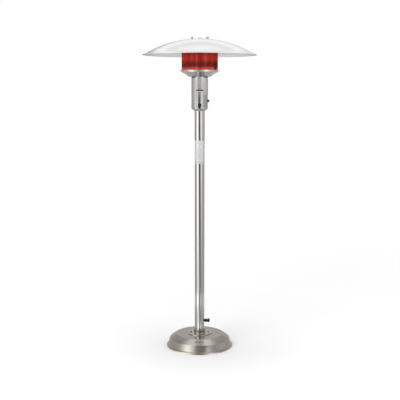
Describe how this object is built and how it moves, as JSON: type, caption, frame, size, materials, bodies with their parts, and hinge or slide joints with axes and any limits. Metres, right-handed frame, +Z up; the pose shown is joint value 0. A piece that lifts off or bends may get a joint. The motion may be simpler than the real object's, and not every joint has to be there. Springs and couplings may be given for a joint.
{
  "type": "patio heater",
  "caption": "Free-standing piped-gas patio heater: stepped round base, slim post, control housing, conical burner bowl, cylindrical glowing emitter and a wide domed reflector.",
  "frame": {"origin": "on the floor under the post, the middle of the bounding box's underside", "axes": "+Z up along the post, the control knob at the front towards -Y, the igniter button and the gas inlet on the right towards +X"},
  "size_m": [0.864, 0.864, 2.3778],
  "materials": {
    "satin_steel": "spun stainless steel with a satin sheen",
    "brushed_steel": "brushed stainless steel",
    "polished_steel": "polished stainless steel with mirror-like stripes",
    "polished_aluminium": "bright spun aluminium",
    "dull_steel": "steel dulled by heat",
    "zinc_steel": "zinc-plated steel",
    "valve_alloy": "cast valve body",
    "iron": "painted cast weight",
    "rubber": "black rubber",
    "brass": "plain brass",
    "black_plastic": "black heat-proof plastic, satin",
    "black_fitting": "black-coated fitting",
    "plate_foil": "thin bare foil plate",
    "white_ceramic": "glazed ceramic insulator",
    "glowing_screen": "perforated heat-proof steel, glowing red",
    "glowing_pleats": "pleated heat-proof steel, glowing red"
  },
  "bodies": {
    "stand": {"base_cover": "satin_steel", "base_weight": "iron", "base_foot_1": "rubber", "base_foot_2": "rubber", "base_foot_3": "rubber", "base_foot_4": "rubber", "post_flange": "satin_steel", "flange_bolt_1": "zinc_steel", "flange_bolt_2": "zinc_steel", "flange_bolt_3": "zinc_steel", "flange_bolt_4": "zinc_steel", "lower_post": "polished_steel", "upper_post": "polished_steel", "data_plate": "plate_foil", "gas_inlet_fitting": "black_fitting", "inlet_elbow": "zinc_steel", "gas_supply_pipe": "zinc_steel", "housing_cone": "brushed_steel", "valve_shelf": "dull_steel", "control_housing": "brushed_steel", "valve_shroud": "polished_steel", "side_panel": "dull_steel", "gas_valve": "valve_alloy", "igniter_body": "black_plastic", "igniter_bezel": "black_plastic", "outlet_pipe": "brass", "burner_jet": "brass", "mixing_tube": "zinc_steel", "burner_head": "dull_steel", "burner_bowl": "brushed_steel", "bowl_screw_1": "zinc_steel", "bowl_screw_2": "zinc_steel", "bowl_screw_3": "zinc_steel", "bowl_screw_4": "zinc_steel", "emitter_screen": "glowing_screen", "inner_emitter": "glowing_pleats", "emitter_cap": "dull_steel", "pilot_tube": "zinc_steel", "thermocouple": "brass", "spark_electrode": "white_ceramic", "pilot_hood": "dull_steel", "reflector": "polished_aluminium", "reflector_stud_1": "zinc_steel", "reflector_stud_2": "zinc_steel", "reflector_stud_3": "zinc_steel", "stud_spacer_1": "zinc_steel", "stud_spacer_2": "zinc_steel", "stud_spacer_3": "zinc_steel", "nut_washer_1": "zinc_steel", "nut_washer_2": "zinc_steel", "nut_washer_3": "zinc_steel", "wing_nut_1": "zinc_steel", "wing_nut_2": "zinc_steel", "wing_nut_3": "zinc_steel"},
    "valve_push": {"valve_plunger": "brass"},
    "knob": {"valve_stem": "brass", "control_knob": "black_plastic"},
    "igniter_push": {"igniter_button": "black_plastic"},
    "inlet_lock": {"inlet_collar": "black_fitting"}
  },
  "joints": [
    {"name": "knob_push", "type": "slide", "parent": "stand", "child": "valve_push", "axis": [0, 1, 0], "range_m": [0, 0.004], "stiffness_N_per_m": 800, "springref_m": -0.005},
    {"name": "knob_turn", "type": "hinge", "parent": "valve_push", "child": "knob", "pos_m": [0, -0.034, 1.8738], "axis": [0, 1, 0], "range_deg": [0, 180]},
    {"name": "igniter_press", "type": "slide", "parent": "stand", "child": "igniter_push", "axis": [-1, 0, 0], "range_m": [0, 0.006], "stiffness_N_per_m": 900, "springref_m": -0.004},
    {"name": "inlet_collar_slide", "type": "slide", "parent": "stand", "child": "inlet_lock", "axis": [-1, 0, 0], "range_m": [0, 0.005], "stiffness_N_per_m": 1200, "springref_m": -0.003}
  ]
}
